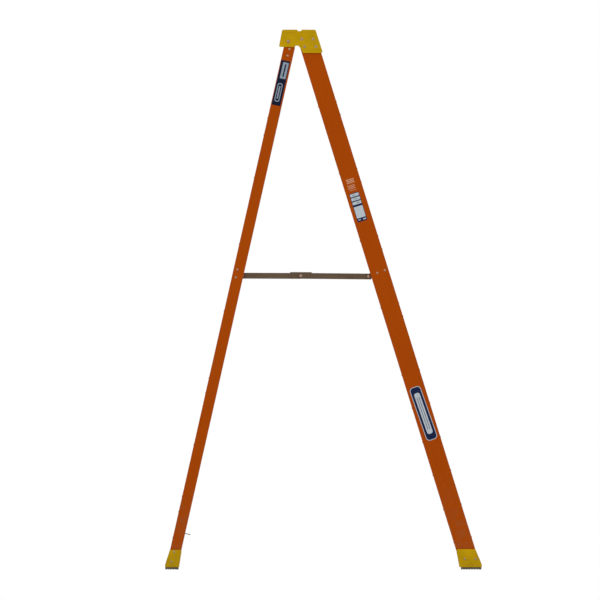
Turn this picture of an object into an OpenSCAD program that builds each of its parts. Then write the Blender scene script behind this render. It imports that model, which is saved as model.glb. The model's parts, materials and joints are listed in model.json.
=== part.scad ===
// Four-legged orchard stepladder: glass-fibre rails, seven ribbed treads, moulded cap, folding spreader.
// Millimetres. Z is up, +X is the climbing side, Y is the width. The floor is Z = 0.

/* [Front rails] */
// fore-and-aft position of the front rail centreline where it would meet the floor
front_foot_x = 643.9; // [500:0.1:800]
// lean of the front rails from vertical, seen square from the side, in degrees
front_lean = 17.25; // [12:0.01:22]
// depth of the front rail channel, front flange to rear flange
front_depth = 80.4; // [60:0.1:100]
// how far the front rail flanges reach inboard from the outer face
front_flange = 28; // [20:0.5:40]
// height at which the front rails are cut off under the cap
front_top = 2322; // [2000:1:2400]

/* [Rear rails] */
// fore-and-aft position of the rear rail centreline where it would meet the floor
rear_foot_x = -659.9; // [-800:0.1:-500]
// lean of the rear rails from vertical, seen square from the side, in degrees
rear_lean = 12.74; // [8:0.01:18]
// depth of the rear rail channel
rear_depth = 48; // [35:0.1:60]
// how far the rear rail flanges reach inboard from the outer face
rear_flange = 25; // [18:0.5:35]
// length along the rear rail at which it is cut off below the hinge
rear_length = 2332; // [2000:1:2400]

/* [Both sides] */
// half of the outer width where the rails would meet the floor
base_half = 315; // [250:1:360]
// lean of each side towards the middle, in degrees
splay = 3.73; // [0:0.01:6]
// wall of the rail channels
wall = 3.5; // [2:0.1:5]
// height at which the rails are cut off inside the boots
rail_floor = 16; // [10:1:30]

/* [Treads] */
// number of treads
tread_count = 7; // [3:1:9]
// height from one tread to the next
tread_pitch = 291.1; // [250:0.1:310]
// metal thickness of a tread
tread_t = 2.2; // [1.5:0.1:4]
// depth of the tread skirts, top to bottom
skirt = 38; // [25:1:60]
// height of the anti-slip ribs on a tread
rib_h = 1; // [0.5:0.1:2]
// distance between neighbouring ribs
rib_pitch = 5.4; // [4:0.1:10]
// drop from a tread top to the rivets in its corners
tread_rivet_drop = 19; // [12:1:30]

/* [Knee braces] */
// number of lower treads with long braces at front and rear
long_count = 3; // [0:1:7]
// drop from tread to the rail end of a long brace
long_drop = 162; // [100:1:220]
// drop from tread to the rail end of a short brace
short_drop = 77; // [50:1:120]
// width of the brace strips
brace_w = 20; // [12:0.5:30]
// thickness of the brace strips
brace_t = 2.5; // [1.5:0.1:4]

/* [Rear bars] */
// heights of the horizontal bars of the rear section
bar_z = [246, 536, 826, 1116, 1407, 1695, 1953]; // [100:1:2200]
// height of the bar web
bar_h = 28; // [18:1:40]
// reach of the bar flange towards the front
bar_reach = 14; // [8:1:18]
// metal thickness of the bars
bar_t = 1.8; // [1:0.1:3]

/* [Rivets] */
// shank radius of the rail rivets
rivet_r = 2.4; // [1.5:0.1:4]
// head radius of the rail rivets
rivet_head = 4.6; // [3:0.1:8]
// head height of the rail rivets
rivet_rise = 2; // [1:0.1:4]
// distance of flange rivets inboard from the outer face
flange_rivet_y = 16; // [10:0.5:22]

/* [Cap] */
// fore-and-aft position of the fold hinge
hinge_x = -152.4; // [-200:0.1:-100]
// height of the fold hinge
hinge_z = 2289.5; // [2200:0.1:2400]
// radius of the hinge pins
hinge_r = 4; // [3:0.1:8]
// clearance of the hinge pins in the straps
running_gap = 0.05; // [0.02:0.01:0.1]
// radius of the round tool holes in the cap
tool_hole_r = 9; // [5:0.5:15]

// radius of the rivets that hold the cap to the front rails
cap_rivet_r = 3; // [2:0.1:5]
// distance of the cap ears' inner face out from the rails' outer face
cap_ear_in = 0.4; // [0.3:0.1:2]
// distance of the cap ears' outer face out from the rails' outer face
cap_ear_out = 4.4; // [3:0.1:8]
// how far the bands along the cap's edges stand out from its ears
cap_band = 1.2; // [0.5:0.1:3]

/* [Spreader] */
// front link pivot: fore-and-aft, height
pivot_f = [197, 1272.5]; // [-500:0.1:1500]
// centre rivet of the spreader: fore-and-aft, height
pivot_c = [-97.8, 1275.5]; // [-500:0.1:1500]
// rear link pivot: fore-and-aft, height
pivot_r = [-350, 1276.5]; // [-500:0.1:1500]
// half height of the links
link_half = 12.7; // [8:0.1:20]
// thickness of the links
link_t = 2.8; // [2:0.1:5]
// distance of the front links inboard from the rail's outer face
front_link_y = 31.3; // [25:0.1:45]
// distance of the rear links inboard from the rail's outer face
rear_link_y = 38; // [25:0.1:50]
// radius of the spreader pivot pins
pivot_pin_r = 3.2; // [2:0.1:5]

/* [Feet] */
// height of the rubber soles
sole_h = 10; // [5:0.5:20]
// thickness of the boot plates
boot_t = 3.6; // [2.5:0.1:6]

/* [Hidden] */
$fn = 48;

paint = [0.64, 0.26, 0.05];
yellow = [0.85, 0.66, 0.06];
steel = [0.45, 0.40, 0.36];
alloy = [0.78, 0.78, 0.77];
rubber = [0.12, 0.12, 0.11];
reach = 1600;
tiny = 0.05;

// leans measured inside the tilted plane of a side
front_in = atan(tan(front_lean) * cos(splay));
rear_in = atan(tan(rear_lean) * cos(splay));
// sideways shift of a tilted flange where the flange rivets sit
front_shift = -flange_rivet_y * sin(splay) * sin(front_lean);
rear_shift = flange_rivet_y * sin(splay) * sin(rear_lean);
front_half = front_depth / 2;
rear_half = rear_depth / 2;
// gap between a tread skirt and the rail flange
skirt_gap = 0.9;
skirt_out = front_half - wall - skirt_gap;
brace_out = skirt_out - tread_t - 0.4;
bar_out = rear_half - wall - 0.4;
flange_grip = wall + skirt_gap + tread_t + 3 * tiny;
// distance of a brace's upper rivet in from the rails' outer face, and the same on the rear bars
brace_inset = 108;
brace_run = 92;
// width and depth of the groove pressed along a spreader link, and where it stops short of a pivot
groove_w = 10;
groove_deep = 0.6;
groove_end = 26;
// bluntness of the strap rivets' heads, which pass inside the cap as the ladder folds
strap_rise = 1.1;

function front_x(z) = front_foot_x - tan(front_lean) * z;
function rear_x(z) = rear_foot_x + tan(rear_lean) * z;
function outer_y(z) = base_half - tan(splay) * z;
function tread_z(k) = k * tread_pitch;
function up(z) = z / cos(splay);
// the same outline taken the other way round
function turned(p) = [for (i = [len(p) - 1 : -1 : 0]) p[i]];
// a point of a side, given as fore-and-aft and height, in the frame of its front or rear rail
function in_front(p) =
    let (dx = p[0] - front_foot_x, h = up(p[1]))
    [dx * cos(front_in) + h * sin(front_in), h * cos(front_in) - dx * sin(front_in)];
function in_rear(p) =
    let (dx = p[0] - rear_foot_x, h = up(p[1]))
    [dx * cos(rear_in) - h * sin(rear_in), h * cos(rear_in) + dx * sin(rear_in)];

// points of the arc of radius r that rounds corner b between a and c
function arc(a, b, c, r) =
    let (
        u = (a - b) / norm(a - b),
        v = (c - b) / norm(c - b),
        half = acos(u * v) / 2,
        mid = b + (u + v) / norm(u + v) * r / sin(half),
        from = b + u * r / tan(half) - mid,
        to = b + v * r / tan(half) - mid,
        start = atan2(from[1], from[0]),
        turn = atan2(to[1], to[0]) - start,
        sweep = turn > 180 ? turn - 360 : (turn < -180 ? turn + 360 : turn)
    )
    [for (i = [0 : 5]) mid + r * [cos(start + sweep * i / 5), sin(start + sweep * i / 5)]];
function flat(q) = [q[0], q[1]];
// outline whose corners are given with the radius that rounds each
function eased(p) = [
    for (i = [0 : len(p) - 1])
        let (n = len(p), a = flat(p[(i + n - 1) % n]), b = flat(p[i]), c = flat(p[(i + 1) % n]))
        each p[i][2] > 0 ? arc(a, b, c, p[i][2]) : [b]
];

module on_side(s) {
    mirror([0, s < 0 ? 1 : 0, 0])
        translate([0, base_half, 0])
            rotate([splay, 0, 0])
                children();
}

module on_both() {
    on_side(-1) children();
    on_side(1) children();
}

module in_front_rail() {
    translate([front_foot_x, 0, 0])
        rotate([0, -front_in, 0])
            children();
}

module in_rear_rail() {
    translate([rear_foot_x, 0, 0])
        rotate([0, rear_in, 0])
            children();
}

// level with height z on the front rails, square to their flanges, world Y across
module at_front(z) {
    translate([front_x(z), 0, z])
        rotate([0, -front_lean, 0])
            children();
}

module at_rear(z) {
    translate([rear_x(z), 0, z])
        rotate([0, rear_lean, 0])
            children();
}

// extrude a fore-and-aft outline inboard by w, starting at y = 0
module across(w) {
    rotate([90, 0, 0])
        linear_extrude(w)
            children();
}

module dome(r, h) {
    ball = (r * r + h * h) / (2 * h);
    intersection() {
        translate([0, 0, h - ball])
            sphere(ball);
        cylinder(r = r + 1, h = h + 1);
    }
}

// domed rivet, head on +Z, shank going down by grip, flat tail below
module rivet(grip, r = rivet_r, head = rivet_head, rise = rivet_rise) {
    dome(head, rise);
    translate([0, 0, -grip])
        cylinder(r = r, h = grip + tiny);
    translate([0, 0, -grip - 1.2])
        cylinder(r = head * 0.8, h = 1.2);
}

// hole for a rivet, from depth below its seat to rise above it
module shank(depth, r = rivet_r, rise = 1) {
    translate([0, 0, -depth - 1])
        cylinder(r = r, h = depth + 1 + rise);
}

// ---- where the fasteners sit ----

// places children with +Z out of the front rail's flange; dir 1 front, -1 rear
module front_flange_spots(s, dir, drop, first, last) {
    for (k = [first : last])
        front_flange_spot(s, dir, tread_z(k), drop)
            children();
}

module front_flange_spot(s, dir, z, drop) {
    low = z - drop;
    at_front(low)
        translate([dir * (front_half + 0.1) + front_shift, s * (outer_y(low) - flange_rivet_y), 0])
            rotate([0, dir * 90, 0])
                children();
}

module rear_flange_spot(s, z) {
    at_rear(z)
        translate([-rear_half - 0.1 + rear_shift, s * (outer_y(z) - flange_rivet_y + 2), 0])
            rotate([0, -90, 0])
                children();
}

module web_spots(points) {
    for (p = points)
        translate([p[0], 0, up(p[1])])
            rotate([-90, 0, 0])
                children();
}

front_web_points = [[233.5, 1286], [266, 1298]];
rear_web_points = [[-373, 1301], [-380, 1267]];
strap_points = [[-147.5, 2256.5], [-155, 2228]];
front_boot_points = [[613, 45], [661, 45]];
rear_boot_points = [[-647, 76], [-659, 33]];
cap_points = [[-93.5, 2300], [-44.5, 2300.5], [-81, 2267], [-33, 2267]];
// bar braces: height of the rail rivet, height of the bar it props
bar_brace_ends = [[312, 246], [761, 826], [1880, 1953]];
// height of the rivet that holds a lower tab
tab_z = 134;

// every hole in a front rail
module front_rail_holes(s) {
    for (dir = [-1, 1]) {
        front_flange_spots(s, dir, tread_rivet_drop, 1, tread_count)
            shank(flange_grip);
        front_flange_spots(s, dir, long_drop, 1, long_count)
            shank(flange_grip);
    }
    front_flange_spots(s, 1, short_drop, long_count + 1, tread_count)
        shank(flange_grip);
    on_side(s) {
        web_spots(concat(front_web_points, front_boot_points))
            shank(wall);
        web_spots(cap_points)
            shank(wall, cap_rivet_r);
    }
}

module rear_rail_holes(s) {
    for (z = bar_z)
        rear_flange_spot(s, z)
            shank(wall);
    for (e = bar_brace_ends)
        rear_flange_spot(s, e[0])
            shank(wall);
    rear_flange_spot(s, tab_z)
        shank(wall);
    on_side(s)
        web_spots(concat(rear_web_points, rear_boot_points, strap_points))
            shank(wall);
}

// ---- rails ----

// channel open towards -Y, its web's outer face on y = 0
module channel(depth, flange, length) {
    linear_extrude(length)
        difference() {
            translate([-depth / 2, -flange])
                square([depth, flange]);
            translate([-depth / 2 + wall, -flange - 1])
                square([depth - 2 * wall, flange + 1 - wall]);
        }
}

module between(low, high) {
    translate([-reach / 2, -reach / 2, low])
        cube([reach, reach, high - low]);
}

module front_rail(s) {
    color(paint)
        difference() {
            intersection() {
                on_side(s)
                    in_front_rail()
                        channel(front_depth, front_flange, 2600);
                between(rail_floor, front_top);
            }
            front_rail_holes(s);
        }
}

module rear_rail(s) {
    color(paint)
        difference() {
            intersection() {
                on_side(s)
                    in_rear_rail()
                        channel(rear_depth, rear_flange, rear_length);
                between(rail_floor, front_top);
            }
            rear_rail_holes(s);
        }
}

// ---- treads ----

// one slanted skirt, dir 1 front, -1 rear
module skirt_outline(dir) {
    lean = tan(front_lean);
    half = skirt_out / cos(front_lean);
    t = tread_t / cos(front_lean);
    corners = [
        [dir * half, 0],
        [dir * half + lean * skirt, -skirt],
        [dir * (half - t) + lean * skirt, -skirt],
        [dir * (half - t), 0]
    ];
    polygon(dir > 0 ? turned(corners) : corners);
}

// lip turned in at the foot of a skirt
module lip_outline(dir) {
    lean = tan(front_lean);
    half = skirt_out / cos(front_lean);
    lip = 9;
    corners = [
        [dir * (half - 0.5) + lean * (skirt - tread_t), -skirt + tread_t],
        [dir * (half - 0.5) + lean * skirt, -skirt],
        [dir * (half - lip) + lean * skirt, -skirt],
        [dir * (half - lip) + lean * (skirt - tread_t), -skirt + tread_t]
    ];
    polygon(dir > 0 ? turned(corners) : corners);
}

module tread_outline() {
    half = skirt_out / cos(front_lean);
    edge = 6;
    stiffener = 9;
    translate([-half + 2, -tread_t])
        square([2 * half - 4, tread_t]);
    skirt_outline(1);
    skirt_outline(-1);
    for (x = [-half + edge : rib_pitch : half - edge])
        translate([x - 0.9, -tiny])
            square([1.8, rib_h + tiny]);
    for (x = [-half / 2, half / 2])
        translate([x - 1, -stiffener])
            square([2, stiffener - 1]);
}

module step(k) {
    z = tread_z(k);
    long = 2 * (outer_y(z) - wall - 1);
    lips = 2 * (outer_y(z) - brace_inset - 22);
    color(alloy)
        difference() {
            translate([front_x(z - rib_h) + front_shift, 0, z - rib_h]) {
                translate([0, long / 2, 0])
                    across(long)
                        tread_outline();
                translate([0, lips / 2, 0])
                    across(lips) {
                        lip_outline(1);
                        lip_outline(-1);
                    }
            }
            for (s = [-1, 1])
                for (dir = [-1, 1]) {
                    front_flange_spot(s, dir, z, tread_rivet_drop)
                        shank(flange_grip);
                    if (k <= long_count || dir > 0)
                        brace_top_spot(s, dir, z)
                            shank(flange_grip);
                }
        }
}

// ---- knee braces ----

// drop from a tread top to a brace's upper rivet, taken at the rail's centreline
function brace_drop(dir) = tread_rivet_drop + (dir > 0 ? 9 : 2);

module brace_top_spot(s, dir, z) {
    low = z - brace_drop(dir);
    at_front(low)
        translate([dir * (skirt_out + tiny) + front_shift, s * (outer_y(low) - brace_inset), 0])
            rotate([0, dir * 90, 0])
                children();
}

// flat bar in the y-z plane between two rounded ends, thick along +X
module strip(a, b, w, t) {
    run = norm(b - a);
    turn = atan2(b[1] - a[1], b[0] - a[0]);
    translate([0, a[0], a[1]])
        rotate([turn, 0, 0])
            rotate([90, 0, 90])
                linear_extrude(t) {
                    circle(r = w / 2);
                    translate([run, 0])
                        circle(r = w / 2);
                    translate([0, -w / 2])
                        square([run, w]);
                }
}

module knee_brace(s, dir, z, drop) {
    low = z - drop;
    top = z - brace_drop(dir);
    rise = (top - low) / cos(front_lean);
    a = [s * (outer_y(low) - flange_rivet_y), 0];
    b = [s * (outer_y(top) - brace_inset), rise];
    x = dir > 0 ? brace_out - brace_t : -brace_out;
    pad = front_half - wall - brace_out - 0.4;
    difference() {
        at_front(low)
            translate([front_shift, 0, 0]) {
                translate([x, 0, 0])
                    strip(a, b, brace_w, brace_t);
                translate([dir * (brace_out - tiny), a[0], 0])
                    rotate([0, dir * 90, 0])
                        cylinder(r = 8, h = pad);
            }
        front_flange_spot(s, dir, z, drop)
            shank(flange_grip + 4);
        brace_top_spot(s, dir, z)
            shank(flange_grip);
    }
}

module long_braces(s, dir) {
    color(alloy)
        for (k = [1 : long_count])
            knee_brace(s, dir, tread_z(k), long_drop);
}

module short_braces(s) {
    color(alloy)
        for (k = [long_count + 1 : tread_count])
            knee_brace(s, 1, tread_z(k), short_drop);
}

// ---- rear bars, their braces and the lower tabs ----

module bar_outline(up_side) {
    translate([-bar_out, -bar_h / 2])
        square([bar_t, bar_h]);
    translate([-bar_out, up_side > 0 ? bar_h / 2 - bar_t : -bar_h / 2])
        square([bar_reach, bar_t]);
    translate([-bar_out + bar_reach - bar_t, up_side > 0 ? bar_h / 2 - 5 : -bar_h / 2])
        square([bar_t, 5]);
}

module bar_brace_spot(s, e) {
    at_rear(e[1])
        translate([-bar_out - tiny + rear_shift, s * (outer_y(e[1]) - brace_run), 0])
            rotate([0, -90, 0])
                children();
}

module rear_bar(k) {
    z = bar_z[k - 1];
    long = 2 * (outer_y(z + bar_h / 2) - wall - 1);
    color(alloy)
        difference() {
            at_rear(z)
                translate([rear_shift, long / 2, 0])
                    across(long)
                        bar_outline(k == 1 ? -1 : 1);
            for (s = [-1, 1]) {
                rear_flange_spot(s, z)
                    shank(wall + 3);
                for (e = bar_brace_ends)
                    if (e[1] == z)
                        bar_brace_spot(s, e)
                            shank(wall + 3);
            }
        }
}

module bar_braces(s) {
    inner = bar_out - bar_t - 0.3;
    color(alloy)
        for (e = bar_brace_ends) {
            rise = (e[1] - e[0]) / cos(rear_lean);
            a = [s * (outer_y(e[0]) - flange_rivet_y + 2), 0];
            b = [s * (outer_y(e[1]) - brace_run), rise];
            difference() {
                at_rear(e[0])
                    translate([rear_shift, 0, 0]) {
                        translate([-inner, 0, 0])
                            strip(a, b, 14, brace_t);
                        translate([-inner + tiny, a[0], 0])
                            rotate([0, -90, 0])
                                cylinder(r = 6.5, h = rear_half - wall - inner - 0.3);
                    }
                rear_flange_spot(s, e[0])
                    shank(wall + 7);
                bar_brace_spot(s, e)
                    shank(wall + 5);
            }
        }
}

// plate across the foot of each rear rail, its nose standing out past the front flange
module lower_tabs() {
    plate = 2.5;
    high = 44;
    level = 167;
    color(steel)
        for (s = [-1, 1])
            difference() {
                on_side(s)
                    in_rear_rail()
                        translate([0, 0, level]) {
                            linear_extrude(plate)
                                polygon([
                                    [-rear_half + wall + 0.6, -rear_flange - 17],
                                    [rear_half + 23, -rear_flange - 17],
                                    [rear_half + 23, -rear_flange - 3],
                                    [rear_half - wall - 0.6, -rear_flange - 3],
                                    [rear_half - wall - 0.6, -wall - 0.6],
                                    [-rear_half + wall + 0.6, -wall - 0.6]
                                ]);
                            translate([-rear_half + wall + 0.6, -rear_flange - 17, -high + plate])
                                cube([plate, rear_flange + 16.4 - wall, high]);
                        }
                rear_flange_spot(s, tab_z)
                    shank(wall + 6);
            }
}

// ---- cap ----

// outlines as fore-and-aft, height, corner radius
cap_outline = [
    [-179, 2341, 8], [-115, 2341, 3], [-110, 2334.5, 3], [-98, 2334.5, 3], [-93, 2341, 3],
    [-34.5, 2341, 9], [-4, 2246.5, 0], [-8.5, 2239.8, 0], [-88.5, 2239.8, 2], [-107, 2271, 12],
    [-119, 2271, 0], [-125, 2265.6, 0], [-193.5, 2265.6, 6]
];
cap_inside = [
    [-188.5, 2200, 0], [-188.5, 2274, 0], [-174.8, 2336.5, 4], [-117, 2336.5, 0], [-112.5, 2330, 0],
    [-95.5, 2330, 0], [-91, 2336.5, 0], [-37.2, 2336.5, 5], [-8.5, 2247, 0], [-8.5, 2200, 0]
];
// space inside the ears that the folding rear rails sweep through
fold_room = [[-187, 2200], [-187, 2276], [-184, 2290], [-107, 2290], [-107, 2200]];
fold_gap = 2;
// stiffening rib under the top, stepped down below the groove
cap_rib = [
    [-184.8, 2300], [-172, 2318], [-44, 2318], [-24.5, 2302], [-33, 2328], [-41, 2338],
    [-90, 2338], [-95, 2331.5], [-113, 2331.5], [-118, 2338], [-174, 2338], [-179.6, 2325]
];
cap_rib_t = 3;
// heights between which the bands along the cap's edges lie
lower_band = [2230, 2250];
upper_band = [2331, 2350];
// round tool holes, and the near rear corners of the square ones, as fore-and-aft, across
tool_spots = [[-145, 105], [-145, 70], [-145, -70], [-145, -105]];
slot_spots = [[-160, -45], [-160, 11]];
slot_size = [30, 34];

// prism along X between the two leaning sides, its faces out by d from the rail planes
module cap_width(d) {
    low = 2200;
    high = 2360;
    a = outer_y(low) + d / cos(splay);
    b = outer_y(high) + d / cos(splay);
    translate([-250, 0, 0])
        rotate([90, 0, 90])
            linear_extrude(320)
                polygon([[-a, low], [a, low], [b, high], [-b, high]]);
}

module cap_slab(points, d) {
    intersection() {
        translate([0, 250, 0])
            across(500)
                polygon(turned(points));
        cap_width(d);
    }
}

module hinge_axis_hole(r) {
    translate([hinge_x, 250, hinge_z])
        rotate([90, 0, 0])
            cylinder(r = r, h = 500);
}

// level seat that a hinge pin's head sits on, a little under the leaning ear
pin_seat = outer_y(hinge_z) + cap_ear_out - 0.5;

module top_cap() {
    tray = [[-86, 2343], [-50, 2343], [-50, 2338.6], [-86, 2338.6]];
    boss = cap_ear_in + 2;
    color(yellow)
        difference() {
            union() {
                difference() {
                    union() {
                        cap_slab(eased(cap_outline), cap_ear_out);
                        intersection() {
                            cap_slab(eased(cap_outline), cap_ear_out + cap_band);
                            union() {
                                between(lower_band[0], lower_band[1]);
                                between(upper_band[0], upper_band[1]);
                            }
                        }
                    }
                    cap_slab(eased(cap_inside), cap_ear_in);
                    cap_slab(fold_room, fold_gap);
                }
                on_both()
                    translate([hinge_x, boss, up(hinge_z)])
                        rotate([90, 0, 0])
                            cylinder(r = 12, h = boss + wall - 0.6);
                for (y = [-60, 0, 60])
                    translate([0, y + cap_rib_t / 2, 0])
                        across(cap_rib_t)
                            polygon(cap_rib);
            }
            hinge_axis_hole(hinge_r);
            for (s = [-1, 1])
                translate([hinge_x, s * pin_seat, hinge_z])
                    rotate([-90 * s, 0, 0])
                        cylinder(r = 7.1, h = 10);
            on_both()
                web_spots(cap_points)
                    shank(8, cap_rivet_r, 8);
            for (p = tool_spots)
                translate([p[0], p[1], 2300])
                    cylinder(r = tool_hole_r, h = 60);
            for (p = slot_spots)
                translate([p[0], p[1], 2300])
                    cube([slot_size[0], slot_size[1], 60]);
            translate([0, 110, 0])
                across(220)
                    polygon(turned(tray));
        }
}

module cap_rivets() {
    color(alloy)
        on_both()
            web_spots(cap_points)
                translate([0, 0, cap_ear_out])
                    rivet(cap_ear_out + wall + tiny, cap_rivet_r, 6, 2);
}

module hinge_pins() {
    inner = outer_y(hinge_z) - 8.3;
    color(alloy)
        for (s = [-1, 1])
            translate([hinge_x, s * pin_seat, hinge_z])
                rotate([-90 * s, 0, 0]) {
                    dome(7, 3);
                    translate([0, 0, inner - pin_seat])
                        cylinder(r = hinge_r, h = pin_seat - inner + tiny);
                    translate([0, 0, inner - pin_seat - 2])
                        cylinder(r = 7, h = 2);
                }
}

// strap inside the rear rail's web, its eye on the hinge pin
module hinge_strap(s) {
    eye = in_rear([hinge_x, hinge_z]);
    eye_r = 13;
    neck = eye[1] - 25;
    foot = eye[1] - 75;
    color(steel)
        difference() {
            on_side(s)
                in_rear_rail()
                    translate([0, -wall - tiny, 0])
                        across(3) {
                            translate(eye)
                                circle(r = eye_r);
                            polygon([
                                [-eye_r, neck], [eye_r, neck],
                                [eye[0] + eye_r, eye[1]], [eye[0] - eye_r, eye[1]]
                            ]);
                            translate([-eye_r, foot])
                                square([2 * eye_r, neck - foot + tiny]);
                        }
        hinge_axis_hole(hinge_r + running_gap);
            on_side(s)
                web_spots(strap_points)
                    shank(wall + 3);
        }
}

// ---- spreader ----

module in_side(p) {
    translate([p[0], 0, up(p[1])])
        children();
}

bracket_t = 2.5;

// plate on the rail's web, a leg stepping inboard, then a round-ended tongue with the pivot hole
module front_bracket(s) {
    tongue = 2.4;
    ear = link_half - 0.9;
    leg_x = -28;
    seat = in_front(pivot_f);
    color(steel)
        difference() {
            on_side(s)
                in_front_rail() {
                    translate([0, 0, seat[1] - 13])
                        linear_extrude(30) {
                            translate([leg_x, -wall - bracket_t - tiny])
                                square([62, bracket_t]);
                            translate([leg_x, -front_link_y + 0.3])
                                square([bracket_t, front_link_y - wall - 0.4]);
                        }
                    translate([0, -front_link_y + 0.3 + tongue, 0])
                        across(tongue) {
                            translate(seat)
                                circle(r = ear);
                            translate([seat[0], seat[1] - ear])
                                square([leg_x + bracket_t - seat[0], 2 * ear]);
                        }
                }
            on_side(s) {
                web_spots(front_web_points)
                    shank(wall + 4);
                in_side(pivot_f)
                    rotate([90, 0, 0])
                        cylinder(r = pivot_pin_r, h = 60);
            }
        }
}

module rear_bracket(s) {
    deep = rear_link_y + link_t + 0.3;
    tongue = 2.4;
    ear = link_half - 0.9;
    leg_x = 1;
    seat = in_rear(pivot_r);
    color(steel)
        difference() {
            on_side(s)
                in_rear_rail() {
                    translate([0, 0, seat[1] - 26])
                        linear_extrude(54) {
                            translate([-15, -wall - bracket_t - tiny])
                                square([leg_x + bracket_t + 15, bracket_t]);
                            translate([leg_x, -deep - tongue])
                                square([bracket_t, deep + tongue - wall - tiny]);
                        }
                    translate([0, -deep, 0])
                        across(tongue) {
                            translate(seat)
                                circle(r = ear);
                            translate([leg_x + 0.2, seat[1] - ear])
                                square([seat[0] - leg_x - 0.2, 2 * ear]);
                        }
                }
            on_side(s) {
                web_spots(rear_web_points)
                    shank(wall + 4);
                in_side(pivot_r)
                    rotate([90, 0, 0])
                        cylinder(r = pivot_pin_r, h = 60);
            }
        }
}

// puts +X along the line from one pivot to another
module along(a, b) {
    in_side(a)
        rotate([0, -atan2(up(b[1]) - up(a[1]), b[0] - a[0]), 0])
            children();
}

function span(a, b) = norm([b[0] - a[0], up(b[1]) - up(a[1])]);

// bar with round ends, the near one carried on square by blunt
module link_outline(long, blunt = 0) {
    circle(r = link_half);
    translate([long, 0])
        circle(r = link_half);
    translate([-blunt, -link_half])
        square([long + blunt, 2 * link_half]);
}

module front_link(s) {
    long = span(pivot_f, pivot_c);
    color(steel)
        on_side(s)
            along(pivot_f, pivot_c)
                translate([0, -front_link_y, 0])
                    difference() {
                        across(link_t)
                            link_outline(long, 10);
                        translate([groove_end, -groove_deep, -groove_w / 2])
                            cube([long - 2 * groove_end, 1 + groove_deep, groove_w]);
                        translate([0, 1, 0])
                            across(10)
                                circle(r = pivot_pin_r + running_gap);
                        translate([long, 1, 0])
                            across(10)
                                circle(r = pivot_pin_r);
                    }
}

// the rear link carries the stop plate that stands above both links at the centre
module rear_link(s) {
    long = span(pivot_r, pivot_c);
    stop = 47;
    color(steel)
        on_side(s)
            along(pivot_r, pivot_c)
                translate([0, -rear_link_y, 0])
                    difference() {
                        across(link_t) {
                            link_outline(long);
                            translate([long - stop, 0])
                                square([2 * stop, link_half + 3.8]);
                        }
                        translate([groove_end, -link_t - 1, -groove_w / 2])
                            cube([long - 2 * groove_end - stop, 1 + groove_deep, groove_w]);
                        translate([0, 1, 0])
                            across(10)
                                circle(r = pivot_pin_r + running_gap);
                        translate([long, 1, 0])
                            across(10)
                                circle(r = pivot_pin_r);
                    }
}

module centre_rivet_front(s) {
    color(steel)
        on_side(s)
            in_side(pivot_c)
                translate([0, -front_link_y, 0])
                    rotate([-90, 0, 0]) {
                        dome(6.5, 1.8);
                        translate([0, 0, -link_t])
                            cylinder(r = pivot_pin_r, h = link_t + tiny);
                    }
}

module centre_rivet_rear(s) {
    color(steel)
        on_side(s)
            in_side(pivot_c)
                translate([0, -rear_link_y - link_t, 0])
                    rotate([90, 0, 0]) {
                        dome(6.5, 1.8);
                        translate([0, 0, -link_t])
                            cylinder(r = pivot_pin_r, h = link_t + tiny);
                    }
}

module front_pivots() {
    grip = 2.4 + 0.3 + link_t + 0.3;
    color(alloy)
        on_both()
            in_side(pivot_f)
                translate([0, -front_link_y + 2.7, 0])
                    rotate([-90, 0, 0])
                        rivet(grip, pivot_pin_r, 7, 2.2);
}

module rear_pivots() {
    grip = 2.4 + 0.3 + link_t + 0.3;
    color(alloy)
        on_both()
            in_side(pivot_r)
                translate([0, -rear_link_y - link_t - 2.7, 0])
                    rotate([90, 0, 0])
                        rivet(grip, pivot_pin_r, 7, 2.2);
}

// ---- rail rivets ----

module front_flange_rivets() {
    color(alloy)
        for (s = [-1, 1]) {
            for (dir = [-1, 1]) {
                front_flange_spots(s, dir, tread_rivet_drop, 1, tread_count)
                    rivet(flange_grip);
                front_flange_spots(s, dir, long_drop, 1, long_count)
                    rivet(flange_grip + brace_t + 0.4);
                for (k = [1 : long_count])
                    brace_top_spot(s, dir, tread_z(k))
                        rivet(tread_t + brace_t + 0.55);
            }
            front_flange_spots(s, 1, short_drop, long_count + 1, tread_count)
                rivet(flange_grip + brace_t + 0.4);
            for (k = [long_count + 1 : tread_count])
                brace_top_spot(s, 1, tread_z(k))
                    rivet(tread_t + brace_t + 0.55);
        }
}

module rear_flange_rivets() {
    color(alloy)
        for (s = [-1, 1]) {
            for (z = bar_z)
                rear_flange_spot(s, z)
                    rivet(wall + 0.4 + bar_t + 0.3);
            for (e = bar_brace_ends) {
                rear_flange_spot(s, e[0])
                    rivet(wall + 0.4 + bar_t + brace_t + 0.6);
                bar_brace_spot(s, e)
                    rivet(bar_t + brace_t + 0.5);
            }
            rear_flange_spot(s, tab_z)
                rivet(wall + 3.5);
        }
}

module front_web_rivets() {
    color(alloy)
        on_both() {
            web_spots(front_web_points)
                rivet(wall + 2.65);
            web_spots(front_boot_points)
                translate([0, 0, boot_t + 0.3])
                    rivet(boot_t + 0.3 + wall + tiny);
        }
}

module rear_web_rivets() {
    color(alloy)
        on_both() {
            web_spots(rear_web_points)
                rivet(wall + 2.65);
            web_spots(strap_points)
                rivet(wall + 3.1, rivet_r, rivet_head, strap_rise);
            web_spots(rear_boot_points)
                translate([0, 0, boot_t + 0.3])
                    rivet(boot_t + 0.3 + wall + tiny);
        }
}

// ---- feet ----

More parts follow.
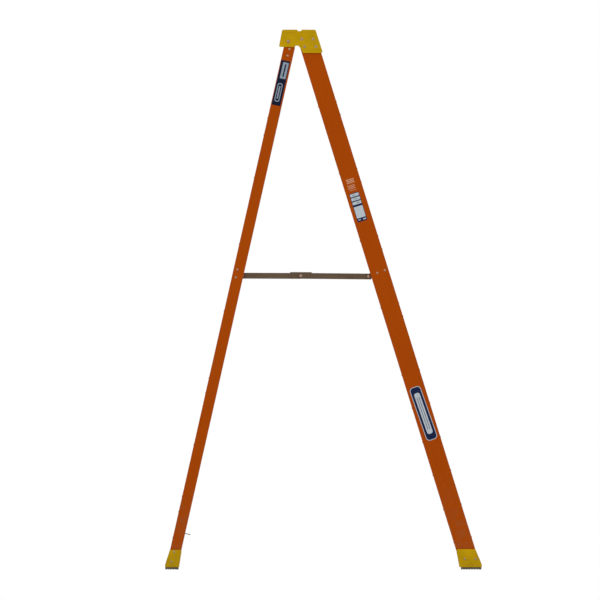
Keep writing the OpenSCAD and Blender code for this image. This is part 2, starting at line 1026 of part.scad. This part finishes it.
front_boot_plate = [
    [575.5, 83], [580, 88], [656, 88], [661, 84], [674, 52], [687, 20], [687, -5], [592, -5], [588, 20]
];
front_boot_wrap = [[582.5, 48], [676.5, 48], [687, 20], [687, -5], [592, -5], [588, 20]];
front_sole_outline = [[596, -5], [685, -5], [685, 13], [596, 13]];
rear_boot_plate = [
    [-667.5, 81], [-663, 85], [-619, 85], [-614.5, 81], [-625, 20], [-626, -5], [-687, -5], [-687, 20]
];
rear_boot_wrap = [[-678.3, 48], [-620, 48], [-625, 20], [-626, -5], [-687, -5], [-687, 20]];
rear_sole_outline = [[-686, -5], [-628, -5], [-628, 13], [-686, 13]];

module boot_shell(plate, wrap, inboard) {
    translate([0, boot_t + 0.3, 0])
        across(boot_t)
            polygon(turned(plate));
    translate([0, boot_t + 0.3, 0])
        across(boot_t + inboard)
            polygon(turned(wrap));
}

module front_boot(s) {
    color(yellow)
        difference() {
            intersection() {
                on_side(s)
                    boot_shell(front_boot_plate, front_boot_wrap, front_flange + 2);
                between(sole_h, 120);
            }
            intersection() {
                on_side(s)
                    in_front_rail()
                        translate([-front_half - 0.3, -front_flange - 8, 0])
                            cube([front_depth + 0.6, front_flange + 8.3, 200]);
                between(rail_floor - 0.1, 200);
            }
            on_side(s)
                web_spots(front_boot_points)
                    shank(8, rivet_r, 8);
        }
}

module rear_boot(s) {
    color(yellow)
        difference() {
            intersection() {
                on_side(s)
                    boot_shell(rear_boot_plate, rear_boot_wrap, rear_flange + 2);
                between(sole_h, 120);
            }
            intersection() {
                on_side(s)
                    in_rear_rail()
                        translate([-rear_half - 0.3, -rear_flange - 8, 0])
                            cube([rear_depth + 0.6, rear_flange + 8.3, 200]);
                between(rail_floor - 0.1, 200);
            }
            on_side(s)
                web_spots(rear_boot_points)
                    shank(8, rivet_r, 8);
        }
}

module sole(s, outline, inboard, first, last) {
    color(rubber)
        difference() {
            intersection() {
                on_side(s)
                    translate([0, boot_t - 0.7, 0])
                        across(inboard)
                            polygon(outline);
                between(0, sole_h);
            }
            for (x = [first : 11 : last])
                translate([x - 1.6, -400, -1])
                    cube([3.2, 800, 3]);
        }
}

front_rail(-1);  // front_rail_left
front_rail(1);  // front_rail_right
rear_rail(-1);  // rear_rail_left
rear_rail(1);  // rear_rail_right
step(1);  // step_1
step(2);  // step_2
step(3);  // step_3
step(4);  // step_4
step(5);  // step_5
step(6);  // step_6
step(7);  // step_7
rear_bar(1);  // rear_bar_1
rear_bar(2);  // rear_bar_2
rear_bar(3);  // rear_bar_3
rear_bar(4);  // rear_bar_4
rear_bar(5);  // rear_bar_5
rear_bar(6);  // rear_bar_6
rear_bar(7);  // rear_bar_7
long_braces(-1, 1);  // knee_braces_front_left
long_braces(1, 1);  // knee_braces_front_right
long_braces(-1, -1);  // knee_braces_rear_left
long_braces(1, -1);  // knee_braces_rear_right
short_braces(-1);  // short_braces_left
short_braces(1);  // short_braces_right
bar_braces(-1);  // bar_braces_left
bar_braces(1);  // bar_braces_right
lower_tabs();
top_cap();
cap_rivets();
hinge_pins();
hinge_strap(-1);  // hinge_strap_left
hinge_strap(1);  // hinge_strap_right
front_bracket(-1);  // front_bracket_left
front_bracket(1);  // front_bracket_right
rear_bracket(-1);  // rear_bracket_left
rear_bracket(1);  // rear_bracket_right
front_link(-1);  // front_link_left
front_link(1);  // front_link_right
rear_link(-1);  // rear_link_left
rear_link(1);  // rear_link_right
centre_rivet_front(-1);  // centre_rivet_front_left
centre_rivet_front(1);  // centre_rivet_front_right
centre_rivet_rear(-1);  // centre_rivet_rear_left
centre_rivet_rear(1);  // centre_rivet_rear_right
front_pivots();
rear_pivots();
front_flange_rivets();
rear_flange_rivets();
front_web_rivets();
rear_web_rivets();
front_boot(-1);  // front_boot_left
front_boot(1);  // front_boot_right
rear_boot(-1);  // rear_boot_left
rear_boot(1);  // rear_boot_right
sole(-1, front_sole_outline, 32, 605, 680);  // front_sole_left
sole(1, front_sole_outline, 32, 605, 680);  // front_sole_right
sole(-1, rear_sole_outline, 29, -677, -635);  // rear_sole_left
sole(1, rear_sole_outline, 29, -677, -635);  // rear_sole_right
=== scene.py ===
import json
import math

import bmesh
import bpy
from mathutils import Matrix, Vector


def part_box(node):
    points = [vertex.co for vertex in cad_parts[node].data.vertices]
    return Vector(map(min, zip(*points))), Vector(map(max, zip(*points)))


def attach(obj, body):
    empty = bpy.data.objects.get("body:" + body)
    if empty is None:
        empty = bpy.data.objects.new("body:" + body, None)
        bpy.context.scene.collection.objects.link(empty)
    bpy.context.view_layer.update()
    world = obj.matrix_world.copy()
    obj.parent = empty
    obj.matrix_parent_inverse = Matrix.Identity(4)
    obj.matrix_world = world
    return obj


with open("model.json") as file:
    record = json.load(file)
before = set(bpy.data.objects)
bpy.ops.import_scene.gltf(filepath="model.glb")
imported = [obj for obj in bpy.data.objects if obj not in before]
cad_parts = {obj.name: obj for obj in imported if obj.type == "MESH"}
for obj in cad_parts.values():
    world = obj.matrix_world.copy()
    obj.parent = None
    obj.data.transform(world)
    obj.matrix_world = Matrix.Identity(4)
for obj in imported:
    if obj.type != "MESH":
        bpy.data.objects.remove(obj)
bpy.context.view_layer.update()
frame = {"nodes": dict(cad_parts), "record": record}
scene = bpy.context.scene
nodes = frame["nodes"]
record = frame["record"]
joints = {j["name"]: j for j in record["behaviour"]["joints"]}

# ---------------------------------------------------------------- leans, read back from the frame
RAIL_DEPTH = {"front": 0.0804, "rear": 0.0480}
FIRST_LEAN = 0.2
LEAN_ROUNDS = 30


def rail_lean(node, depth):
    """Lean of a straight rail, from its box and its depth."""
    low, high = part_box(node)
    lean = FIRST_LEAN
    for _ in range(LEAN_ROUNDS):
        lean = math.atan2(high.x - low.x - depth / math.cos(lean), high.z - low.z)
    return lean


FRONT_LEAN = rail_lean("front_rail_left", RAIL_DEPTH["front"])
REAR_LEAN = rail_lean("rear_rail_left", RAIL_DEPTH["rear"])
link_axis = Vector(joints["front_link_left_turn"]["axis"])
SPLAY = math.atan2(abs(link_axis.z), abs(link_axis.y))


# ---------------------------------------------------------------- node graphs
class Graph:
    """A small helper that keeps the material code short."""

    def __init__(self, name):
        self.mat = bpy.data.materials.new(name)
        self.mat.use_nodes = True
        self.tree = self.mat.node_tree
        self.tree.nodes.clear()
        out = self.tree.nodes.new("ShaderNodeOutputMaterial")
        self.bsdf = self.tree.nodes.new("ShaderNodeBsdfPrincipled")
        self.link(self.bsdf.outputs[0], out.inputs[0])
        self.coord = self.tree.nodes.new("ShaderNodeTexCoord").outputs["Object"]

    def link(self, a, b):
        self.tree.links.new(a, b)

    def set(self, **values):
        for key, value in values.items():
            self.bsdf.inputs[key.replace("_", " ")].default_value = value

    def mapped(self, vector, rotation=(0, 0, 0), scale=(1, 1, 1)):
        m = self.tree.nodes.new("ShaderNodeMapping")
        m.inputs["Rotation"].default_value = rotation
        m.inputs["Scale"].default_value = scale
        self.link(vector, m.inputs["Vector"])
        return m.outputs[0]

    def noise(self, vector, scale=1.0, detail=4.0, rough=0.5):
        n = self.tree.nodes.new("ShaderNodeTexNoise")
        n.inputs["Scale"].default_value = scale
        n.inputs["Detail"].default_value = detail
        n.inputs["Roughness"].default_value = rough
        self.link(vector, n.inputs["Vector"])
        return n.outputs["Fac"]

    def cells(self, vector, scale):
        n = self.tree.nodes.new("ShaderNodeTexVoronoi")
        n.inputs["Scale"].default_value = scale
        self.link(vector, n.inputs["Vector"])
        return n.outputs["Distance"]

    def span(self, value, low, high, to_low=0.0, to_high=1.0):
        n = self.tree.nodes.new("ShaderNodeMapRange")
        n.clamp = True
        n.inputs["From Min"].default_value = low
        n.inputs["From Max"].default_value = high
        n.inputs["To Min"].default_value = to_low
        n.inputs["To Max"].default_value = to_high
        self.link(value, n.inputs["Value"])
        return n.outputs[0]

    def math(self, op, a, b):
        n = self.tree.nodes.new("ShaderNodeMath")
        n.operation = op
        for socket, value in zip(n.inputs, (a, b)):
            if isinstance(value, (int, float)):
                socket.default_value = value
            else:
                self.link(value, socket)
        return n.outputs[0]

    def axis(self, vector, name):
        n = self.tree.nodes.new("ShaderNodeSeparateXYZ")
        self.link(vector, n.inputs[0])
        return n.outputs[name]

    def normal(self):
        return self.tree.nodes.new("ShaderNodeNewGeometry").outputs["Normal"]

    def mix(self, fac, a, b):
        n = self.tree.nodes.new("ShaderNodeMix")
        n.data_type = "RGBA"
        n.clamp_factor = True
        if isinstance(fac, (int, float)):
            n.inputs[0].default_value = fac
        else:
            self.link(fac, n.inputs[0])
        for socket, value in ((n.inputs[6], a), (n.inputs[7], b)):
            if isinstance(value, tuple):
                socket.default_value = (*value, 1.0)
            else:
                self.link(value, socket)
        return n.outputs[2]

    def bump(self, height, strength, distance, under=None):
        n = self.tree.nodes.new("ShaderNodeBump")
        n.inputs["Strength"].default_value = strength
        n.inputs["Distance"].default_value = distance
        self.link(height, n.inputs["Height"])
        if under is not None:
            self.link(under, n.inputs["Normal"])
        return n.outputs[0]

    def finish(self, colour, rough, normal):
        for name, value in (("Base Color", colour), ("Roughness", rough), ("Normal", normal)):
            self.link(value, self.bsdf.inputs[name])
        return self.mat


def srgb(r, g, b):
    def one(c):
        c /= 255
        return c / 12.92 if c <= 0.04045 else ((c + 0.055) / 1.055) ** 2.4
    return (one(r), one(g), one(b))


def rail_paint(name, lean):
    """Pigmented glass-fibre channel: lengthwise fibres, sun fade, scuffs, dust at the foot."""
    g = Graph(name)
    along = g.mapped(g.coord, rotation=(0, lean, 0))
    fibre = g.noise(g.mapped(along, scale=(900, 900, 9)), detail=3)
    band = g.noise(g.mapped(along, scale=(90, 90, 1.6)), detail=3, rough=0.6)
    fade = g.noise(g.coord, scale=2.2, detail=3, rough=0.6)
    veil = g.cells(g.mapped(along, scale=(420, 420, 160)), 1.0)
    scuff_way = g.mapped(along, rotation=(0, 0.9, 0.3), scale=(14, 14, 130))
    scuff = g.noise(scuff_way, detail=6, rough=0.7)
    high = g.axis(g.coord, "Z")
    colour = g.mix(g.span(fibre, 0.30, 0.72), srgb(144, 57, 0), srgb(155, 65, 0))
    colour = g.mix(g.span(band, 0.35, 0.75, 0.0, 0.22), colour, srgb(134, 50, 0))
    colour = g.mix(g.span(fade, 0.42, 0.70, 0.0, 0.22), colour, srgb(162, 72, 0))
    colour = g.mix(g.span(scuff, 0.66, 0.74, 0.0, 0.25), colour, srgb(176, 104, 56))
    speckle = g.noise(g.coord, scale=26, detail=6, rough=0.7)
    dust = g.math("MULTIPLY", g.span(high, 0.42, 0.04), g.span(speckle, 0.40, 0.72))
    colour = g.mix(g.math("MULTIPLY", dust, 0.42), colour, srgb(122, 88, 58))
    rough = g.span(band, 0.25, 0.75, 0.34, 0.52)
    rough = g.math("ADD", rough, g.span(scuff, 0.64, 0.74, 0.0, 0.22))
    rough = g.math("ADD", rough, g.math("MULTIPLY", dust, 0.25))
    normal = g.bump(veil, 0.12, 0.0004)
    normal = g.bump(fibre, 0.12, 0.0004, normal)
    g.set(Specular_IOR_Level=0.03)
    return g.finish(colour, rough, normal)


def cap_plastic():
    """Moulded polypropylene: pebbled skin, slight mottling, scuffed top, grime low down."""
    g = Graph("cap_yellow")
    grain = g.noise(g.coord, scale=1100, detail=2)
    pebble = g.cells(g.coord, 620)
    mottle = g.noise(g.coord, scale=14, detail=4, rough=0.6)
    scuff_way = g.mapped(g.coord, rotation=(0.2, 0.4, 0.7), scale=(16, 190, 60))
    scuff = g.noise(scuff_way, detail=6, rough=0.7)
    up = g.span(g.axis(g.normal(), "Z"), 0.3, 0.9)
    low = g.span(g.axis(g.coord, "Z"), 0.12, 0.01)
    colour = g.mix(g.span(mottle, 0.35, 0.70), srgb(162, 128, 0), srgb(180, 144, 0))
    colour = g.mix(g.span(pebble, 0.0, 0.55, 0.14, 0.0), colour, srgb(120, 92, 4))
    exposed = g.math("ADD", g.math("MULTIPLY", up, 0.5), 0.18)
    worn = g.math("MULTIPLY", g.span(scuff, 0.56, 0.72), exposed)
    colour = g.mix(worn, colour, srgb(128, 104, 44))
    speckle = g.noise(g.coord, scale=60, detail=6, rough=0.7)
    grime = g.math("MULTIPLY", low, g.span(speckle, 0.36, 0.72))
    colour = g.mix(g.math("MULTIPLY", grime, 0.20), colour, srgb(92, 72, 38))
    rough = g.span(mottle, 0.3, 0.7, 0.40, 0.56)
    rough = g.math("ADD", rough, g.math("MULTIPLY", worn, 0.25))
    normal = g.bump(pebble, 0.16, 0.0005)
    normal = g.bump(grain, 0.10, 0.0003, normal)
    g.set(Specular_IOR_Level=0.045)
    return g.finish(colour, rough, normal)


def alloy(name, dark, light, along=(700, 7, 700)):
    """Bare metal with drawing lines, handling scratches and dull patches."""
    g = Graph(name)
    line = g.noise(g.mapped(g.coord, scale=along), detail=4, rough=0.6)
    patch = g.noise(g.coord, scale=18, detail=5, rough=0.65)
    scratch_way = g.mapped(g.coord, rotation=(0.5, 0.2, 0.6), scale=(20, 420, 90))
    scratch = g.noise(scratch_way, detail=5, rough=0.7)
    colour = g.mix(g.span(line, 0.3, 0.7), dark, light)
    colour = g.mix(g.span(patch, 0.45, 0.75, 0.0, 0.35), colour, tuple(c * 0.55 for c in dark))
    rough = g.span(patch, 0.3, 0.7, 0.30, 0.50)
    rough = g.math("ADD", rough, g.span(line, 0.3, 0.7, -0.04, 0.06))
    rough = g.math("ADD", rough, g.span(scratch, 0.60, 0.72, 0.0, 0.16))
    normal = g.bump(line, 0.12, 0.0003)
    normal = g.bump(scratch, 0.10, 0.0004, normal)
    g.set(Metallic=1.0)
    return g.finish(colour, rough, normal)


def sole_rubber():
    """Black rubber with a fine matt grain and pale dust towards the ground."""
    g = Graph("sole_rubber")
    grain = g.noise(g.coord, scale=900, detail=3)
    dust = g.noise(g.coord, scale=70, detail=6, rough=0.7)
    low = g.span(g.axis(g.coord, "Z"), 0.011, 0.0, 0.12, 0.55)
    colour = g.mix(g.span(grain, 0.3, 0.7), srgb(52, 49, 36), srgb(70, 66, 48))
    colour = g.mix(g.math("MULTIPLY", g.span(dust, 0.42, 0.70), low), colour, srgb(122, 110, 88))
    rough = g.span(dust, 0.3, 0.7, 0.70, 0.92)
    return g.finish(colour, rough, g.bump(grain, 0.35, 0.0005))


def vinyl(name, colour_rgb, worn_rgb):
    """Printed film: faint print grain, rubbed patches, soft sheen."""
    g = Graph(name)
    grain = g.noise(g.coord, scale=1500, detail=2)
    rub = g.noise(g.mapped(g.coord, scale=(60, 60, 22)), detail=6, rough=0.7)
    colour = g.mix(g.span(grain, 0.3, 0.7, 0.0, 0.18), colour_rgb, worn_rgb)
    colour = g.mix(g.span(rub, 0.52, 0.72, 0.0, 0.55), colour, worn_rgb)
    rough = g.span(rub, 0.3, 0.7, 0.28, 0.46)
    g.set(Specular_IOR_Level=0.08)
    return g.finish(colour, rough, g.bump(grain, 0.06, 0.0002))


MATERIALS = {
    "cap_yellow": cap_plastic(),
    "alloy": alloy("alloy", srgb(196, 196, 195), srgb(226, 226, 225)),
    "rivet_metal": alloy(
        "rivet_metal", srgb(138, 112, 92), srgb(172, 145, 124), along=(300, 300, 300)),
    "spreader_steel": alloy(
        "spreader_steel", srgb(78, 64, 50), srgb(108, 90, 74), along=(9, 600, 600)),
    "sole_rubber": sole_rubber(),
}
FRONT_PAINT = rail_paint("rail_orange_front", FRONT_LEAN)
REAR_PAINT = rail_paint("rail_orange_rear", -REAR_LEAN)
SLOT_OF = {s["node"]: s["material_slot"] for s in record["subparts"]}


# width and segments of the rounded edges, in metres, for each slot that has them
EDGE_ROUNDING = {
    "rail_orange": (0.0007, 2),
    "cap_yellow": (0.0008, 2),
    "sole_rubber": (0.0004, 1),
    "spreader_steel": (0.0003, 1),
}
JOIN_WITHIN = 0.00002
FLAT_WITHIN = math.radians(1.0)
SHARP_OVER = math.radians(40)


def soften(obj, width, segments):
    """Joins the imported facets and rounds the edges, so they catch light."""
    weld = obj.modifiers.new("join", "WELD")
    weld.merge_threshold = JOIN_WITHIN
    flat = obj.modifiers.new("flat", "DECIMATE")
    flat.decimate_type = "DISSOLVE"
    flat.angle_limit = FLAT_WITHIN
    bevel = obj.modifiers.new("round", "BEVEL")
    bevel.width = width
    bevel.segments = segments
    bevel.limit_method = "ANGLE"
    bevel.angle_limit = SHARP_OVER
    bevel.harden_normals = True
    bevel.use_clamp_overlap = True


for name, obj in nodes.items():
    slot = SLOT_OF[name]
    if slot == "rail_orange":
        mat = FRONT_PAINT if name.startswith("front") else REAR_PAINT
    else:
        mat = MATERIALS[slot]
    if slot in EDGE_ROUNDING:
        soften(obj, *EDGE_ROUNDING[slot])
    obj.data.materials.clear()
    obj.data.materials.append(mat)


# ---------------------------------------------------------------- printed panels on the left rails
NAVY = vinyl("print_navy", srgb(10, 24, 58), srgb(30, 42, 74))
PALE = vinyl("print_pale", srgb(168, 177, 184), srgb(140, 142, 142))
CREAM = vinyl("print_cream", srgb(182, 132, 102), srgb(150, 88, 50))
DEEP_NAVY = vinyl("print_deep_navy", srgb(4, 16, 38), srgb(18, 30, 52))
DULL_PALE = vinyl("print_dull_pale", srgb(128, 140, 154), srgb(104, 110, 118))

# tops of the layers above the rail, in metres: the film, then the inks one over another
FILM = 0.00018
INK = 0.00024
SECOND_INK = 0.00028
FIELD_INK = 0.00030
THIRD_INK = 0.00032
RULE_INK = 0.00034
# gap under a layer, and the drop and inset of its eased edge
LAYER_GAP = 0.00002
EDGE_DROP = 0.00005
EDGE_INSET = 0.0001


def rail_face(node, depth, front, across, z):
    """A point on a left rail's outer face at height z, and the ways across, along and out."""
    low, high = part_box(node)
    lean = FRONT_LEAN if front else -REAR_LEAN
    half = depth / math.cos(lean) / 2
    foot = high.x - half if front else low.x + half
    centre = Vector((foot - math.tan(lean) * (z - low.z), low.y + math.tan(SPLAY) * (z - low.z), z))
    up = Vector((-math.tan(lean), math.tan(SPLAY), 1)).normalized()
    out = Vector((0, -math.cos(SPLAY), math.sin(SPLAY)))
    right = up.cross(out)
    right = right.normalized() * (1 if right.x > 0 else -1)
    return centre + right * across, right, up, out


def rounded(width, height, radius, steps=7):
    """Outline of a rectangle with round corners, about its own centre."""
    points = []
    least_side = 1e-5
    radius = min(radius, width / 2 - least_side, height / 2 - least_side)
    for cx, cy, start in ((1, 1, 0), (-1, 1, 90), (-1, -1, 180), (1, -1, 270)):
        for i in range(steps):
            a = math.radians(start + 90 * i / (steps - 1))
            points.append((cx * (width / 2 - radius) + radius * math.cos(a),
                           cy * (height / 2 - radius) + radius * math.sin(a)))
    return points


def panel(name, node, depth, front, across, z, layers, tilt=0.0):
    """Thin printed film.

    Each layer holds its centre across and along, width, height, corner radius, top and material.
    """
    origin, right, up, out = rail_face(node, depth, front, across, z)
    bm = bmesh.new()
    mats = []
    for cu, cv, width, height, radius, top, mat in layers:
        if mat not in mats:
            mats.append(mat)
        rings = []
        for rise, inset in ((LAYER_GAP, 0.0), (top - EDGE_DROP, 0.0), (top, EDGE_INSET)):
            ring = []
            for a, b in rounded(width - 2 * inset, height - 2 * inset, radius):
                a, b = a + cu, b + cv
                a, b = (a * math.cos(tilt) - b * math.sin(tilt),
                        a * math.sin(tilt) + b * math.cos(tilt))
                ring.append(bm.verts.new(origin + right * a + up * b + out * rise))
            rings.append(ring)
        for a, b in zip(rings, rings[1:]):
            for i in range(len(a)):
                j = (i + 1) % len(a)
                bm.faces.new((a[i], a[j], b[j], b[i])).material_index = mats.index(mat)
        for ring in (rings[0], rings[-1]):
            bm.faces.new(ring).material_index = mats.index(mat)
    bmesh.ops.recalc_face_normals(bm, faces=bm.faces)
    mesh = bpy.data.meshes.new(name)
    bm.to_mesh(mesh)
    bm.free()
    for mat in mats:
        mesh.materials.append(mat)
    obj = bpy.data.objects.new(name, mesh)
    scene.collection.objects.link(obj)
    return obj


# where each film's centre is: across its rail, and above the floor
SIDE_ACROSS, SIDE_HIGH = 0.0, 0.677
NOTICE_ACROSS, NOTICE_HIGH = -0.0045, 1.606
REAR_ACROSS, REAR_HIGH = 0.0005, 2.1095
SIDE_TILT = math.radians(2.0)

# low on the front rail: pale edge, navy border, pale field, two navy rules
side_layers = [
    (0, 0, 0.0500, 0.2420, 0.016, FILM, PALE),
    (0, 0, 0.0450, 0.2370, 0.014, INK, NAVY),
    (0, 0, 0.0250, 0.1860, 0.009, FIELD_INK, PALE),
    (-0.0045, 0, 0.0024, 0.1480, 0.001, RULE_INK, NAVY),
    (0.0045, 0, 0.0024, 0.1480, 0.001, RULE_INK, NAVY),
]
side_panel = panel("side_panel", "front_rail_left", RAIL_DEPTH["front"], True,
                   SIDE_ACROSS, SIDE_HIGH, side_layers, tilt=SIDE_TILT)

# high on the front rail: a navy notice with pale blocks, under rows of cream bars
notice_layers = [
    (0, -0.0340, 0.0430, 0.1280, 0.0030, FILM, NAVY),
    (0, -0.0563, 0.0390, 0.0510, 0.0015, INK, PALE),
    (0.0115, -0.0905, 0.0130, 0.0050, 0.0010, INK, PALE),
    (-0.0110, -0.0895, 0.0120, 0.0036, 0.0010, INK, PALE),
]
for i in range(3):
    row = 0.0205 - 0.0178 * i
    notice_layers.append((0, row, 0.0390, 0.0130, 0.0012, INK, PALE))
    notice_layers.append((-0.0040 + 0.0040 * i, row, 0.0120, 0.0022, 0.0008, SECOND_INK, NAVY))
for i in range(3):
    odd = i % 2
    notice_layers.append(
        (0, 0.0905 - 0.0070 * i, 0.0360 - 0.0040 * odd, 0.0048, 0.0012, FILM, CREAM))
    notice_layers.append(
        (-0.002, 0.0640 - 0.0065 * i, 0.0330 - 0.0030 * odd, 0.0036, 0.0012, FILM, CREAM))
notice_layers.append((0.001, 0.0425, 0.0300, 0.0024, 0.0010, FILM, CREAM))
notice_panel = panel("notice_panel", "front_rail_left", RAIL_DEPTH["front"], True,
                     NOTICE_ACROSS, NOTICE_HIGH, notice_layers)

# at the top of the rear rail: a dark film with two dull pale blocks
rear_layers = [
    (0, 0, 0.0390, 0.1990, 0.0030, FILM, DEEP_NAVY),
    (0.0030, 0.0560, 0.0250, 0.0720, 0.0030, INK, DULL_PALE),
    (0.0030, 0.0560, 0.0060, 0.0560, 0.0010, SECOND_INK, DEEP_NAVY),
    (-0.0010, -0.0420, 0.0220, 0.0820, 0.0090, INK, DULL_PALE),
    (-0.0010, -0.0420, 0.0150, 0.0740, 0.0060, SECOND_INK, DEEP_NAVY),
    (-0.0010, -0.0420, 0.0060, 0.0560, 0.0020, THIRD_INK, DULL_PALE),
]
rear_panel = panel("rear_panel", "rear_rail_left", RAIL_DEPTH["rear"], False,
                   REAR_ACROSS, REAR_HIGH, rear_layers)
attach(side_panel, "front_section")
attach(notice_panel, "front_section")
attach(rear_panel, "rear_section")

# ---------------------------------------------------------------- floor, light, camera
FLOOR_HALF = 30
FLOOR_BELOW = 0.0003
# the camera looks square at the left side; the width is that of the picture
VIEW_WIDTH = 2.6016
VIEW_ALONG, VIEW_HIGH, VIEW_AWAY = -0.1017, 1.1686, 8.0
VIEW_CLIP = 60

floor_mesh = bpy.data.meshes.new("floor")
bm = bmesh.new()
bmesh.ops.create_grid(bm, x_segments=8, y_segments=8, size=FLOOR_HALF)
bm.to_mesh(floor_mesh)
bm.free()
floor = bpy.data.objects.new("floor", floor_mesh)
floor.location.z = -FLOOR_BELOW
scene.collection.objects.link(floor)
g = Graph("floor")
soft = g.noise(g.coord, scale=1.3, detail=3)
fine = g.noise(g.coord, scale=160, detail=4)
floor_mesh.materials.append(g.finish(
    g.mix(g.span(soft, 0.3, 0.7), (0.80, 0.80, 0.80), (0.84, 0.84, 0.84)),
    g.span(soft, 0.3, 0.7, 0.75, 0.90), g.bump(fine, 0.05, 0.0004)))

world = bpy.data.worlds.new("studio")
world.use_nodes = True
world.node_tree.nodes["Background"].inputs["Color"].default_value = (1, 1, 1, 1)
world.node_tree.nodes["Background"].inputs["Strength"].default_value = 1.0
scene.world = world


def area_light(name, place, target, size, power, colour=(1, 1, 1)):
    data = bpy.data.lights.new(name, "AREA")
    data.shape = "DISK"
    data.size = size
    data.energy = power
    data.color = colour
    obj = bpy.data.objects.new(name, data)
    obj.location = place
    obj.rotation_euler = (Vector(target) - Vector(place)).to_track_quat("-Z", "Y").to_euler()
    scene.collection.objects.link(obj)
    return obj


area_light("key", (-2.6, -4.6, 4.6), (0, 0, 1.1), 2.4, 70, (1.0, 0.985, 0.96))
area_light("fill", (4.6, -2.4, 2.6), (0, 0, 1.0), 3.0, 24, (0.96, 0.98, 1.0))
area_light("rim", (1.5, 4.8, 4.2), (0, 0, 1.2), 2.4, 45)

camera_data = bpy.data.cameras.new("camera")
camera_data.type = "ORTHO"
camera_data.ortho_scale = VIEW_WIDTH
camera_data.clip_end = VIEW_CLIP
camera = bpy.data.objects.new("camera", camera_data)
camera.location = (VIEW_ALONG, -VIEW_AWAY, VIEW_HIGH)
camera.rotation_euler = (math.radians(90), 0, 0)
scene.collection.objects.link(camera)
scene.camera = camera

scene.view_settings.view_transform = "Standard"
scene.view_settings.look = "None"
